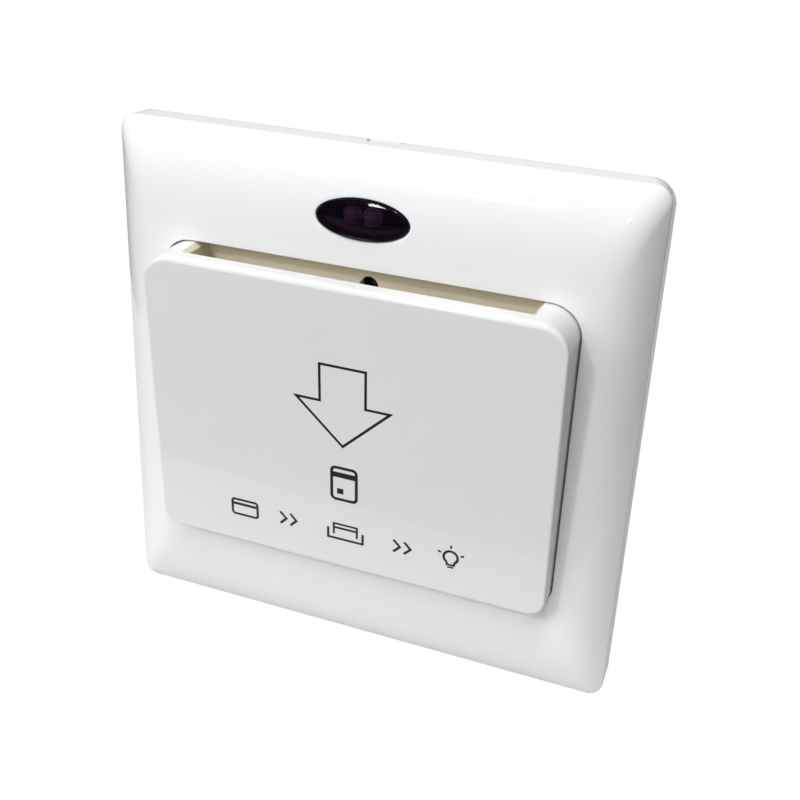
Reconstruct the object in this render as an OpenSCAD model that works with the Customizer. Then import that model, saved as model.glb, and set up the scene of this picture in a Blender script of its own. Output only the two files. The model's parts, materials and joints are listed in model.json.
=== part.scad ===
// Hotel key card switch: wall plate, card pocket, card lever with microswitch, power relay.
// +X is the viewer's right, +Z is up, the front faces -Y and the wall plane is y = 0.
// The origin is the centre of the plate on the wall plane. Millimetres.

/* [Plate] */
// Side of the square front frame at its rear rim
plate_w = 86; // [85:0.5:88]
// Corner radius of the frame
plate_r = 3.5; // [2.5:0.5:4]
// Depth of the straight skirt around the frame
skirt_d = 4.6; // [4.4:0.1:5]
// How far the pillowed face rises above the skirt
pillow_rise = 3.8; // [3.6:0.05:3.9]
// Distance from the left or right edge over which the face rises
side_run = 9.6; // [9:0.1:10]
// Distance from the top or bottom edge over which the face rises
top_run = 18; // [15:0.5:18]
// Width of the pry notch in the top rim
notch_w = 5; // [4:0.5:8]

/* [Card pocket] */
// Outer width of the pocket
pocket_w = 66.8; // [66:0.1:67]
// Outer height of the pocket
pocket_h = 49.5; // [49.2:0.1:49.7]
// Corner radius of the pocket, seen from the front
pocket_r = 4.8; // [4:0.1:5]
// How far the pocket stands off the wall at its bottom edge
pocket_d_low = 12.22; // [12:0.1:12.8]
// How far the pocket stands off the wall at its top edge
pocket_d_top = 15.5; // [15.2:0.1:16]
// Clear width of the card slot
slot_w = 54.5; // [54.4:0.1:55]
// Thickness of the pocket's front wall
pocket_wall = 2.7; // [2.5:0.1:2.8]
// Rounding of the pocket's side and bottom front edges
pocket_edge_r = 0.4; // [0.3:0.1:0.8]
// Rounding of the pocket's top front edge
pocket_top_r = 1; // [0.6:0.1:1.4]
// Lead-in at the two ends of the slot mouth
mouth_lead = 0.65; // [0.4:0.05:0.8]
// Diameter of the sensor hole in the rear wall of the slot
sensor_hole_d = 3; // [2.8:0.1:3.2]
// Height of the sensor hole above the centre
sensor_z = 21.7; // [21:0.1:21.8]

/* [Indicator] */
// Width of the oval lens
lens_w = 14.9; // [14:0.1:15.2]
// Height of the oval lens
lens_h = 6.2; // [6:0.1:6.4]
// Sideways place of the lens
lens_x = -0.3; // [-0.8:0.1:0.4]
// Height of the lens above the centre
lens_z = 32.9; // [32.6:0.1:33]
// Pitch of the two LEDs
led_pitch = 3.2; // [3.2:0.1:3.3]

/* [Wall side] */
// Spacing of the two wall screws
screw_pitch = 60.3; // [60.1:0.1:60.5]
// Width of the wall screw slots
screw_slot_w = 4.2; // [4:0.1:4.5]
// Length of the wall screw slots
screw_slot_l = 6.5; // [6:0.1:6.8]
// Depth of the housing behind the wall plane
housing_d = 30.6; // [30.6:0.2:34]
// Wall thickness of the housing
housing_wall = 1.6; // [1.4:0.1:1.6]

/* [Card lever] */
// Distance of the pivot from the peg, sideways
lever_arm = 16; // [15.5:0.1:16]
// Radius of the card peg
peg_r = 2; // [1.8:0.1:2]
// Radius of the lever pin
pin_r = 1.25; // [1.2:0.05:1.3]
// Running clearance of the lever on its pin
pin_clear = 0.06; // [0.04:0.01:0.08]

/* [Hidden] */
$fn = 48;
hw = plate_w / 2;
bw = hw - 2;                       // half width of the base plate
bt = 2.4;                          // thickness of the base plate
pz = 24.7;                         // heights at which the two stand-offs of the leaning front are measured: -pz and pz
pz1 = 25.05;                       // top of the pocket
pz0 = pz1 - pocket_h;              // bottom of the pocket
tilt = atan((pocket_d_top - pocket_d_low) / (2 * pz));
function front_y(z) = -(pocket_d_low + (pocket_d_top - pocket_d_low) * (z + pz) / (2 * pz));
floor_z = -20.5;                   // top of the pocket's floor
back_y = -5;                       // front face of the slot's rear wall
back_t = 1.6;                      // its thickness
led_x = -1.15;                     // middle of the LED pair
led_z = 32.75;
lens_tilt = 10.5;                  // the lens follows the slope of the face
pcb_y = 7;                         // front face of the circuit board
pcb_t = 1.6;
rear_y = pcb_y + pcb_t;            // rear face of the circuit board
hx = 24;                           // half width of the housing
hz0 = -34;
hz1 = 35.2;
px = lever_arm;                    // lever pivot
pvz = -13;
qz = -14;                          // peg height
nub_x = px - 6.5;
ear_x = 16;
ear_z = [37.6, -36.4];
term_x = [-12.3, -4.1, 4.1, 12.3];
term_z = -26;
stake = [[-34.6, 13], [34.6, 13], [-34.6, -13], [34.6, -13], [-12, -26.1], [12, -26.1]];
pscrew = [[-30, 17], [30, 17], [-30, -17], [30, -17]];
post = [[-19.4, 31], [19.4, 31], [-19.4, -29.9], [19.4, -29.9]];

white = "#eef0f1";
cream = "#e4e2da";
steel = "#b9bcc0";
brass = "#c9a24a";

// ---------- shared shapes ----------
module bx(x0, x1, y0, y1, z0, z1) translate([x0, y0, z0]) cube([x1 - x0, y1 - y0, z1 - z0]);
module ycyl(r, y0, y1, x, z) translate([x, y0, z]) rotate([-90, 0, 0]) cylinder(h = y1 - y0, r = r);
module ycone(r0, r1, y0, y1, x, z) translate([x, y0, z]) rotate([-90, 0, 0]) cylinder(h = y1 - y0, r1 = r0, r2 = r1);
module xcyl(r, x0, x1, y, z) translate([x0, y, z]) rotate([0, 90, 0]) cylinder(h = x1 - x0, r = r);
module zcyl(r, z0, z1, x, y) translate([x, y, z0]) cylinder(h = z1 - z0, r = r);
// a flat outline in X and Z, thickened from y0 to y1
module slab(y0, y1) translate([0, y1, 0]) rotate([90, 0, 0]) linear_extrude(height = y1 - y0) children();
// a flat outline in Y and Z, thickened from x0 to x1
module yz_slab(x0, x1) translate([x0, 0, 0]) rotate([90, 0, 90]) linear_extrude(height = x1 - x0) children();
module rr(x0, x1, z0, z1, r) {
    translate([x0 + r, z0]) square([x1 - x0 - 2 * r, z1 - z0]);
    translate([x0, z0 + r]) square([x1 - x0, z1 - z0 - 2 * r]);
    for (x = [x0 + r, x1 - r], z = [z0 + r, z1 - r]) translate([x, z]) circle(r = r);
}
function oval(w, h, cx, cz, n = 48) = [for (i = [0 : n - 1]) [cx + w / 2 * cos(360 * i / n), cz + h / 2 * sin(360 * i / n)]];
function arc(cx, cy, r, a0, a1, n = 8) = [for (i = [0 : n]) let (a = a0 + (a1 - a0) * i / n) [cx + r * cos(a), cy + r * sin(a)]];

// a round wire along a list of points
function unit(v) = v / norm(v);
function tang(p, i) = unit(p[min(i + 1, len(p) - 1)] - p[max(i - 1, 0)]);
function side(t) = abs(t[1]) < 0.9 ? unit(cross(t, [0, 1, 0])) : unit(cross(t, [0, 0, 1]));
module wire(p, r, s = 8) {
    n = len(p);
    pts = [for (i = [0 : n - 1]) let (t = tang(p, i), u = side(t), v = cross(t, u))
           for (k = [0 : s - 1]) p[i] + r * (u * cos(360 * k / s) + v * sin(360 * k / s))];
    polyhedron(points = pts, faces = concat(
        [[for (k = [0 : s - 1]) k]],
        [for (i = [0 : n - 2], k = [0 : s - 1]) [i * s + k, (i + 1) * s + k, (i + 1) * s + (k + 1) % s, i * s + (k + 1) % s]],
        [[for (k = [s - 1 : -1 : 0]) (n - 1) * s + k]]));
}

// ---------- front panel ----------
function pillow(d, run) = skirt_d + pillow_rise * (1 - pow(1 - min(d, run) / run, 2.2));
// cross-section of the frame: drafted skirt, softened edge, pillowed face
function frame_half(run) = concat(
    [[hw, -0.3], [hw - 0.04, -skirt_d + 0.55]],
    [for (a = [15 : 15 : 45]) [hw - 0.04 - 0.55 * (1 - cos(a)), -skirt_d + 0.55 - 0.55 * sin(a)]],
    [for (k = [1 : 10]) [hw - run * k / 10, -pillow(run * k / 10, run)]]);
module frame_profile(run) {
    h = frame_half(run);
    polygon(concat(h, [for (i = [len(h) - 1 : -1 : 0]) [-h[i][0], h[i][1]]]));
}
module front_frame() color(white) {
    difference() {
        // the sides rise in a shorter run than the top and bottom, so the mitres point at the window's corners
        intersection() {
            translate([0, 0, -50]) linear_extrude(height = 100) frame_profile(side_run);
            rotate([0, 90, 0]) translate([0, 0, -50]) linear_extrude(height = 100) frame_profile(top_run);
            slab(-20, 0) rr(-hw, hw, -hw, hw, plate_r);
        }
        // hollow behind the face, stepped to follow it
        slab(-3, 1) rr(-hw + 1.6, hw - 1.6, -hw + 1.6, hw - 1.6, 1.6);
        slab(-3.9, 1) rr(-hw + 4, hw - 4, -hw + 4, hw - 4, 1.6);
        slab(-4.5, 1) rr(-hw + 6.2, hw - 6.2, -hw + 6.2, hw - 6.2, 1.6);
        slab(-5.05, 1) rr(-36.1, 36.1, -37.2, 37.2, 1.6);
        // window for the pocket
        slab(-20, 1) rr(-pocket_w / 2 - 0.25, pocket_w / 2 + 0.25, pz0 - 0.3, pz1 + 0.3, pocket_r + 0.25);
        // hole for the lens
        slab(-20, 1) polygon(oval(lens_w + 0.3, lens_h + 0.3, lens_x, lens_z));
        // pry notch
        bx(-notch_w / 2, notch_w / 2, -2, 1, hw - 2.5, hw + 1);
    }
    // clip tongues inside the skirt
    for (s = [-1, 1], z = [-24, 24]) bx(min(s * (hw - 1.5), s * (hw - 3.3)), max(s * (hw - 1.5), s * (hw - 3.3)), -3.4, -0.5, z - 4, z + 4);
    // heat stakes that hold the pocket's flange
    for (p = stake) {
        ycyl(0.8, -5.6, -3.2, p[0], p[1]);
        ycyl(1.3, -3.4, -2.85, p[0], p[1]);
    }
}

module pocket_solid() {
    intersection() {
        slab(-20, -3.4) rr(-pocket_w / 2, pocket_w / 2, pz0, pz1, pocket_r);
        // leaning front with rounded top and bottom edges
        yz_slab(-40, 40) let (b = pocket_edge_r, t = pocket_top_r)
            polygon(concat([[-3, pz1], [-3, pz0]],
                arc(front_y(pz0 + b) + b / cos(tilt), pz0 + b, b, 270, 180 + tilt),
                arc(front_y(pz1 - t) + t / cos(tilt), pz1 - t, t, 180 + tilt, 90)));
        // rounded side edges
        translate([0, front_y(0), 0]) rotate([tilt, 0, 0]) translate([0, 0, -40]) linear_extrude(height = 80)
            let (r = pocket_edge_r, w = pocket_w / 2)
            polygon(concat([[w, 20], [-w, 20]], arc(-w + r, r, r, 180, 270, 4), arc(w - r, r, r, 270, 360, 4)));
    }
}
module pocket_cover() color(cream) difference() {
    union() {
        pocket_solid();
        slab(back_y, back_y + back_t) rr(-35.8, 35.8, -27.4, 24.4, 2);
    }
    // the slot, open at the top, with a lead-in at both ends of its mouth
    intersection() {
        yz_slab(-40, 40) polygon([[-3, floor_z], [-3, 40], [front_y(40) + pocket_wall, 40], [front_y(floor_z) + pocket_wall, floor_z]]);
        slab(-30, -2) let (w = slot_w / 2, z = pz1 - mouth_lead, e = 10)
            polygon([[-w, floor_z - 5], [w, floor_z - 5], [w, z], [w + e, z + e], [-w - e, z + e], [-w, z]]);
    }
    // seat of the rear wall
    bx(-31.8, 31.8, back_y, -3, -22.6, 40);
    // screw holes and stakes
    for (p = pscrew) ycyl(0.95, -10, -4, p[0], p[1]);
    for (p = stake) ycyl(0.85, -6, -3, p[0], p[1]);
}
module pocket_back() color(cream) difference() {
    bx(-31.6, 31.6, back_y, back_y + back_t, -22.4, 27);
    ycyl(sensor_hole_d / 2, -6, -3, 0, sensor_z);
    // window for the card peg
    bx(-peg_r - 0.8, peg_r + 1.5, -6, -3, floor_z, qz + peg_r + 0.8);
    for (p = pscrew) {
        ycyl(1.05, -6, -3, p[0], p[1]);
        ycone(1.05, 2.15, -4.5, -3.4, p[0], p[1]);
    }
}
module pocket_screws() color(steel) for (p = pscrew) difference() {
    union() {
        ycyl(0.9, -9.5, -4.3, p[0], p[1]);
        ycone(0.98, 2.0, -4.46, -3.45, p[0], p[1]);
    }
    for (a = [0, 90]) translate([p[0], -3.4, p[1]]) rotate([0, a, 0]) cube([2, 0.9, 0.45], center = true);
}
module indicator_lens() color("#2a1c30") difference() {
    union() {
        intersection() {
            slab(-20, -4.9) polygon(oval(lens_w, lens_h, lens_x, lens_z));
            // domed front
            translate([lens_x, -8.35, lens_z]) rotate([-lens_tilt, 0, 0]) {
                translate([0, 12.2, 0]) rotate([0, 90, 0]) cylinder(h = 60, r = 12.2, center = true, $fn = 96);
            }
            translate([lens_x, -8.4, lens_z]) rotate([-lens_tilt, 0, 0]) translate([0, 48, 0]) cylinder(h = 120, r = 48, center = true, $fn = 96);
        }
        slab(-4.95, -4.05) polygon(oval(lens_w + 2.8, lens_h + 1.6, lens_x, lens_z));
    }
    slab(-7, -4) polygon(oval(lens_w - 2.4, lens_h - 1.6, lens_x, lens_z));
}

// ---------- base ----------
module base_plate() color("#dcdcd6") difference() {
    slab(-bt, 0) rr(-bw, bw, -bw, bw, 2.4);
    slab(-5, 1) rr(-hx - 0.3, hx + 0.3, hz0 - 0.3, hz1 + 0.3, 3);
    // wall screw slots
    for (s = [-1, 1]) {
        for (e = [-1, 1]) ycyl(screw_slot_w / 2, -5, 1, s * screw_pitch / 2 + e * (screw_slot_l - screw_slot_w) / 2, 0);
        bx(s * screw_pitch / 2 - (screw_slot_l - screw_slot_w) / 2, s * screw_pitch / 2 + (screw_slot_l - screw_slot_w) / 2, -5, 1, -screw_slot_w / 2, screw_slot_w / 2);
    }
    // seats of the housing ears and their countersunk screws
    for (x = [-ear_x, ear_x]) {
        bx(x - 3.8, x + 3.8, -1, 1, hz1, 40.4);
        bx(x - 3.8, x + 3.8, -1, 1, -39, hz0);
        for (z = ear_z) {
            ycyl(1.4, -5, 1, x, z);
            ycone(2.6, 1.4, -bt - 0.001, -1.2, x, z);
        }
    }
    // notches for the clip tongues
    for (s = [-1, 1], z = [-24, 24]) bx(min(s * (hw - 3.8), s * hw), max(s * (hw - 3.8), s * hw), -5, 1, z - 4.5, z + 4.5);
}
module rear_housing() color("#dedfdc") difference() {
    union() {
        difference() {
            slab(-bt, housing_d) rr(-hx, hx, hz0, hz1, 2.7);
            slab(-5, housing_d - 1.6) rr(-hx + housing_wall, hx - housing_wall, hz0 + housing_wall, hz1 - housing_wall, 1.2);
        }
        // ears behind the base plate
        for (x = [-ear_x, ear_x]) {
            bx(x - 3.6, x + 3.6, -1, 4.4, hz1 - 0.5, 40.2);
            bx(x - 3.6, x + 3.6, -1, 4.4, -38.8, hz0 + 0.5);
        }
        // posts for the circuit board and ledges for the lever bracket
        for (p = post) ycyl(2.3, rear_y, housing_d - 1, p[0], p[1]);
        for (s = [-1, 1]) bx(min(s * 18.2, s * (hx - 1)), max(s * 18.2, s * (hx - 1)), 5.1, 14, -9, -3);
    }
    for (x = [-ear_x, ear_x], z = ear_z) ycyl(1.35, -2, 3.6, x, z);
    for (p = post) ycyl(1.1, rear_y - 1, 18, p[0], p[1]);
    for (s = [-1, 1]) ycyl(1.1, 4, 12.4, s * 20.2, -6);
    // notch for the LEDs and the board's tab
    bx(led_x - 4, led_x + 4, -3, rear_y + 0.4, hz1 - housing_wall - 0.5, hz1 + 1);
    // screwdriver holes, wire entries and vents
    for (x = term_x) {
        ycyl(2.4, housing_d - 3, housing_d + 1, x, term_z);
        zcyl(2.3, hz0 - 1, hz0 + 3, x, 14.6);
    }
    for (s = [-1, 1], k = [0 : 5]) bx(s * hx - 3, s * hx + 3, 13, 25, 1 + 3.4 * k, 2.4 + 3.4 * k);
    // chamfers around the rear wall
    yz_slab(-40, 40) polygon([[housing_d - 2.5, hz1 + 0.5], [housing_d + 0.5, hz1 - 2.5], [housing_d + 0.5, hz1 + 0.5]]);
    yz_slab(-40, 40) polygon([[housing_d - 2.5, hz0 - 0.5], [housing_d + 0.5, hz0 + 2.5], [housing_d + 0.5, hz0 - 0.5]]);
    for (s = [-1, 1]) translate([0, 0, -50]) linear_extrude(height = 100)
        polygon([[s * (hx + 0.5), housing_d - 2.5], [s * (hx - 2.5), housing_d + 0.5], [s * (hx + 0.5), housing_d + 0.5]]);
}
module housing_screws() color(steel) for (x = [-ear_x, ear_x], z = ear_z) difference() {
    union() {
        ycone(2.5, 1.3, -bt, -1.2, x, z);
        ycyl(1.3, -1.3, 3.2, x, z);
    }
    for (a = [0, 90]) translate([x, -bt, z]) rotate([0, a, 0]) cube([2.6, 1, 0.5], center = true);
}
module main_pcb() color("#2f6b3f") difference() {
    union() {
        slab(pcb_y, rear_y) rr(-21.9, 21.9, -31.9, 33.1, 1);
        // tab that carries the two LEDs
        bx(led_x - 3.6, led_x + 3.6, pcb_y, rear_y, 32, 34.5);
    }
    for (p = post) ycyl(1.2, 0, 20, p[0], p[1]);
    for (s = [-1, 1]) bx(min(s * 17.9, s * 30), max(s * 17.9, s * 30), 0, 20, -9.4, -2.6);
}
module pcb_screws() color(steel) for (p = post) difference() {
    union() {
        ycyl(1.05, pcb_y - 0.2, 15, p[0], p[1]);
        ycyl(2.0, pcb_y - 1.4, pcb_y, p[0], p[1]);
    }
    for (a = [0, 90]) translate([p[0], pcb_y - 1.4, p[1]]) rotate([0, a, 0]) cube([2.6, 1.2, 0.5], center = true);
}
// a 3 mm round-nosed lamp or sensor standing on its spacer
module lamp(x, z, tip, base) {
    difference() {
        union() {
            ycyl(1.45, tip + 1.45, base, x, z);
            translate([x, tip + 1.45, z]) sphere(r = 1.45);
            ycyl(1.58, base - 1, base, x, z);
        }
    }
    for (s = [-1, 1]) bx(x + s * 0.75 - 0.22, x + s * 0.75 + 0.22, base - 0.3, pcb_y, z - 0.22, z + 0.22);
}
module spacer(x, z, base) difference() {
    ycyl(1.58, base, pcb_y, x, z);
    for (s = [-1, 1]) ycyl(0.42, base - 1, pcb_y + 1, x + s * 0.75, z);
}
module led_red() color("#c8403a") lamp(led_x - led_pitch / 2, led_z, -6.6, -1.4);
module led_green() color("#58b060") lamp(led_x + led_pitch / 2, led_z, -6.6, -1.4);
module card_sensor() color("#18181a") lamp(0, sensor_z, -2.9, 2.3);
module led_spacers() color("#202022") {
    for (s = [-1, 1]) spacer(led_x + s * led_pitch / 2, led_z, -1.4);
    spacer(0, sensor_z, 2.3);
}

// ---------- card lever and microswitch ----------
module switch_bracket() color("#d8d4c8") difference() {
    union() {
        bx(-22, 5, 3.5, 5.1, -9, -3);
        bx(3.6, 21.9, 3.5, 5.1, -26.2, -3);
        ycyl(2.3, 1.3, 4, px, pvz);
        ycyl(0.8, 1.4, 4, px + 4.4, pvz - 6.2);
    }
    ycyl(pin_r, 0, 6, px, pvz);
    for (s = [-1, 1]) ycyl(1.2, 0, 8, s * 20.2, -6);
    for (x = [7.8, 13.8]) ycyl(1.15, 0, 8, x, -24.3);
}
module bracket_screws() color(steel) for (s = [-1, 1]) difference() {
    union() {
        ycyl(1.05, 3.3, 11, s * 20.2, -6);
        ycyl(1.9, 2.2, 3.5, s * 20.2, -6);
    }
    for (a = [0, 90]) translate([s * 20.2, 2.2, -6]) rotate([0, a, 0]) cube([2.4, 1.2, 0.5], center = true);
}
module lever_pin() color(steel) ycyl(pin_r, -3.05, 5.1, px, pvz);
module lever_clip() color("#6d7074") difference() {
    ycyl(2.5, -2.95, -2.55, px, pvz);
    ycyl(pin_r, -4, 0, px, pvz);
    bx(px - 0.7, px + 0.7, -4, 0, pvz, pvz + 4);
}
module card_lever() color("#e8a33a") {
    // hub, arm, nub over the button and boss of the peg
    slab(-2.4, 1.1) difference() {
        union() {
            translate([px, pvz]) circle(r = 3);
            polygon([[0, qz - 1.6], [px, pvz - 1.6], [px, pvz + 1.6], [0, qz + 1.6]]);
            translate([nub_x, -15.4]) circle(r = 1.5);
            translate([0, qz]) circle(r = peg_r + 0.4);
        }
        translate([px, pvz]) circle(r = pin_r + pin_clear);
    }
    // peg with a rounded nose
    translate([0, -2, qz]) rotate([90, 0, 0]) rotate_extrude()
        polygon(concat([[0, 0], [peg_r, 0]], arc(0, 7.6 - peg_r, peg_r, 0, 75, 6), [[0, 7.6 - peg_r + peg_r * sin(75)]]));
}
module lever_spring() color(steel) wire(concat(
    [for (i = [0 : 60]) let (a = 215 + 1030 * i / 60) [px + 3.1 * cos(a), 3.1 - 1.3 * i / 60, pvz + 3.1 * sin(a)]],
    [[px - 5.2, 1.8, -16.0], [px - 9.5, 1.8, -16.5], [px - 10.6, 1.6, -16.55], [px - 10.8, 1.0, -16.55], [px - 10.8, -0.6, -16.55]]), 0.25, 8);
module microswitch_case() color("#26282c") difference() {
    bx(4.4, 17.2, -2.3, 2.7, -25.8, -19.3);
    bx(4.9, 16.7, -1.5, 3, -23, -20.3);
    bx(8, 11.8, -0.8, 2, -21, -19);
    for (x = [5.4, 10.8, 16.2]) bx(x - 0.5, x + 0.5, 0, 0.8, -27, -22);
    for (x = [7.8, 13.8]) ycyl(1.05, -1.4, 4, x, -24.3);
}
module microswitch_cover() color("#33363b") difference() {
    bx(4.4, 17.2, 2.7, 3.5, -25.8, -19.3);
    for (x = [7.8, 13.8]) ycyl(1.05, 0, 5, x, -24.3);
}
module microswitch_button() color("#b03030") {
    bx(8.25, 11.55, -0.55, 1.75, -20.8, -17.02);
    bx(7.4, 12.4, -0.55, 1.75, -20.8, -20.45);
}
module microswitch_blade() color(brass) union() {
    bx(5.2, 15.4, -0.2, 1.4, -22.75, -22.55);
    bx(14.6, 15.8, 0, 1.2, -22.85, -22.45);
}
module microswitch_terminals() color(brass) for (x = [5.4, 10.8, 16.2]) {
    bx(x - 0.4, x + 0.4, 0.1, 0.7, -27.3, -22.95);
    bx(x - 0.4, x + 0.4, 0.1, pcb_y, -27.3, -26.7);
}
module microswitch_screws() color(steel) for (x = [7.8, 13.8]) difference() {
    union() {
        ycyl(1, -1.2, 5.2, x, -24.3);
        ycyl(1.8, 5.1, 6.3, x, -24.3);
    }
    translate([x, 6.3, -24.3]) cube([2.4, 1, 0.45], center = true);
}

// ---------- relay ----------
rcx = -3;                          // axis of the coil
rcz = 4.5;
module relay_base() color("#1c2a4a") difference() {
    bx(-15, 15, rear_y, 10.7, -8.2, 17.2);
    bx(13, 14.4, 9.6, 11, 1.8, 7.2);
}
module relay_cover() color("#22345c") difference() {
    slab(rear_y, 28.6) rr(-16.2, 16.2, -9.4, 18.4, 1.2);
    bx(-15.1, 15.1, rear_y - 1, 27.5, -8.3, 17.3);
}
module relay_yoke() color(steel) difference() {
    union() {
        bx(-14.3, -12.9, 10.7, 24.25, rcz - 5.5, rcz + 5.5);
        bx(-14.3, 2, 10.7, 12.2, rcz - 5.5, rcz + 5.5);
        // rounded edge that the armature rocks on
        zcyl(0.71, rcz - 5.5, rcz + 5.5, -13.6, 24.25);
    }
    ycyl(3, 10, 13, rcx, rcz);
}
module relay_core() color("#8f949a") {
    ycyl(3, 10.7, 23.4, rcx, rcz);
    ycyl(4.2, 23.3, 23.75, rcx, rcz);
}
module relay_bobbin() color("#d9d4c0") difference() {
    union() {
        ycyl(4, 12.2, 23.2, rcx, rcz);
        ycyl(7.6, 12.2, 13.2, rcx, rcz);
        ycyl(7.6, 22.2, 23.2, rcx, rcz);
    }
    ycyl(3.05, 12, 24, rcx, rcz);
}
module relay_winding() color("#b06a34") difference() {
    ycyl(6.9, 13.25, 22.15, rcx, rcz);
    ycyl(4.05, 13, 23, rcx, rcz);
}
module relay_armature() color("#a4a8ad") bx(-14.2, 3.5, 25.2, 26.4, rcz - 6, rcz + 6);
module relay_contact_spring() color(brass) {
    bx(-7.5, 13.4, 26.4, 26.75, rcz - 2, rcz + 2);
    ycyl(1.6, 25.2, 26.5, 11.5, rcz);
    ycyl(0.9, 26.6, 27.1, 11.5, rcz);
    ycyl(1, 26.6, 27.1, -4, rcz);
}
module relay_fixed_contact() color(brass) {
    bx(13.2, 14.2, 9.7, 22, rcz - 2.5, rcz + 2.5);
    bx(9.6, 14.2, 21, 22, rcz - 2.5, rcz + 2.5);
    ycyl(1.6, 21.5, 23.05, 11.5, rcz);
}
module relay_return_spring() color("#c8ccd0") {
    bx(-14.6, -14.35, 16, 26.8, rcz - 3, rcz + 3);
    bx(-14.6, -9.5, 26.5, 26.75, rcz - 3, rcz + 3);
}

// ---------- terminals and circuit pieces ----------
module terminal_block() color("#2d6a48") difference() {
    bx(-16.6, 16.6, rear_y, 23.6, -32.3, -20.5);
    for (x = term_x) {
        bx(x - 2.7, x + 2.7, 11.2, 19.4, -33, -22.6);
        ycyl(2.2, 19, 25, x, term_z);
    }
}
module terminal_cages() color("#c4c7ca") for (x = term_x) difference() {
    bx(x - 2.5, x + 2.5, 11.6, 19, -29.6, -22.8);
    bx(x - 1.8, x + 1.8, 12.6, 16.6, -33, -20);
    ycyl(1.5, 16, 20, x, term_z);
}
module terminal_screws() color(steel) for (x = term_x) difference() {
    union() {
        ycyl(1.45, 15.6, 20.4, x, term_z);
        ycyl(2, 20.2, 22.2, x, term_z);
    }
    translate([x, 22.2, term_z]) rotate([0, 25, 0]) cube([5, 1.6, 0.6], center = true);
}
module film_capacitor() color("#c9a838") {
    slab(rear_y + 0.6, 22.6) rr(-15.8, 2, 20.2, 30.6, 0.8);
    for (x = [-14.4, 0.6]) ycyl(0.35, rear_y, rear_y + 1, x, 25.4);
}
module electrolytic_capacitor() color("#23345f") difference() {
    translate([9.6, 0, 25.4]) rotate([-90, 0, 0]) rotate_extrude()
        polygon([[0, rear_y], [4.8, rear_y], [5, rear_y + 0.5], [5, rear_y + 1.2], [4.7, rear_y + 1.6], [5, rear_y + 2], [5, 21.6], [4.6, 22], [0, 22]]);
    for (a = [0, 90]) translate([9.6, 22, 25.4]) rotate([0, a, 0]) cube([6, 0.4, 0.3], center = true);
}
module varistor() color("#2b56a0") {
    translate([-13.6, 14.4, -15]) rotate([0, 90, 0]) rotate_extrude() polygon([[0, 0], [3.9, 0], [4.5, 0.6], [4.5, 2.8], [3.9, 3.4], [0, 3.4]]);
    for (z = [-17, -13]) ycyl(0.35, rear_y, 11.2, -11.9, z);
}
module axial(x0, x1, r, y, z) {
    xcyl(r, x0, x1, y, z);
    xcyl(0.35, x0 - 1.6, x1 + 1.6, y, z);
    for (x = [x0 - 1.6, x1 + 1.6]) ycyl(0.35, rear_y, y + 0.35, x, z);
}
module diodes() color("#1d1d1f") for (k = [0 : 3]) axial(-6, -1, 1.1, 10.4, -11 - 2.7 * k);
module resistors() color("#6fa3b8") for (k = [0 : 1]) axial(4.6, 12.6, 1.5, 10.6, -12.4 - 4.6 * k);
module controller_chip() color("#1a1b1d") {
    bx(-14, -9, pcb_y - 1.7, pcb_y - 0.15, 5, 9);
    for (k = [0 : 3], s = [-1, 1]) bx(-13.6 + 1.27 * k, -13.2 + 1.27 * k, pcb_y - 0.6, pcb_y, min(7 + s * 1.9, 7 + s * 3), max(7 + s * 1.9, 7 + s * 3));
}

front_frame();
pocket_cover();
pocket_back();
pocket_screws();
indicator_lens();
base_plate();
rear_housing();
housing_screws();
main_pcb();
pcb_screws();
led_red();
led_green();
card_sensor();
led_spacers();
switch_bracket();
bracket_screws();
lever_pin();
lever_clip();
card_lever();
lever_spring();
microswitch_case();
microswitch_cover();
microswitch_button();
microswitch_blade();
microswitch_terminals();
microswitch_screws();
relay_base();
relay_cover();
relay_yoke();
relay_core();
relay_bobbin();
relay_winding();
relay_armature();
relay_contact_spring();
relay_fixed_contact();
relay_return_spring();
terminal_block();
terminal_cages();
terminal_screws();
film_capacitor();
electrolytic_capacitor();
varistor();
diodes();
resistors();
controller_chip();
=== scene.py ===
import json
import math

import bmesh
import bpy
import numpy as np
from mathutils import Matrix, Vector


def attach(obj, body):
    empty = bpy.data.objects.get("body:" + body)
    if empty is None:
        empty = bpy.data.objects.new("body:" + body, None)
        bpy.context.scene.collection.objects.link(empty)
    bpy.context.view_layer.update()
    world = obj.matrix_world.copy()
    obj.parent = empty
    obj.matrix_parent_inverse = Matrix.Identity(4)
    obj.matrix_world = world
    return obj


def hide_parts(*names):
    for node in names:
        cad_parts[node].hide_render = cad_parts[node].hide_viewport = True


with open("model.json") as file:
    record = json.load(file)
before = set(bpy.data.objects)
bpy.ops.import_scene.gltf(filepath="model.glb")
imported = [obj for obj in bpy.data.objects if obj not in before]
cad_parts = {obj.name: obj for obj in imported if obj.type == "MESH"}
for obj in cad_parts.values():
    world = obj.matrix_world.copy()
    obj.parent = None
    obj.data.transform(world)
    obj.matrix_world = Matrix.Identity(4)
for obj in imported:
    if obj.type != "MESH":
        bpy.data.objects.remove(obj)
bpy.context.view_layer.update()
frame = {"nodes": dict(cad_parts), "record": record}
NODES = frame["nodes"]
MM = 0.001
SLOT_OF = {s["node"]: s["material_slot"] for s in frame["record"]["subparts"]}
BODY_OF = {n: b for b, ns in frame["record"]["behaviour"]["bodies"].items() for n in ns}


# ---------------------------------------------------------------- materials
def new_mat(name):
    m = bpy.data.materials.new(name)
    m.use_nodes = True
    nt = m.node_tree
    nt.nodes.clear()
    out = nt.nodes.new("ShaderNodeOutputMaterial")
    bs = nt.nodes.new("ShaderNodeBsdfPrincipled")
    nt.links.new(bs.outputs[0], out.inputs[0])
    return m, nt, bs


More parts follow.
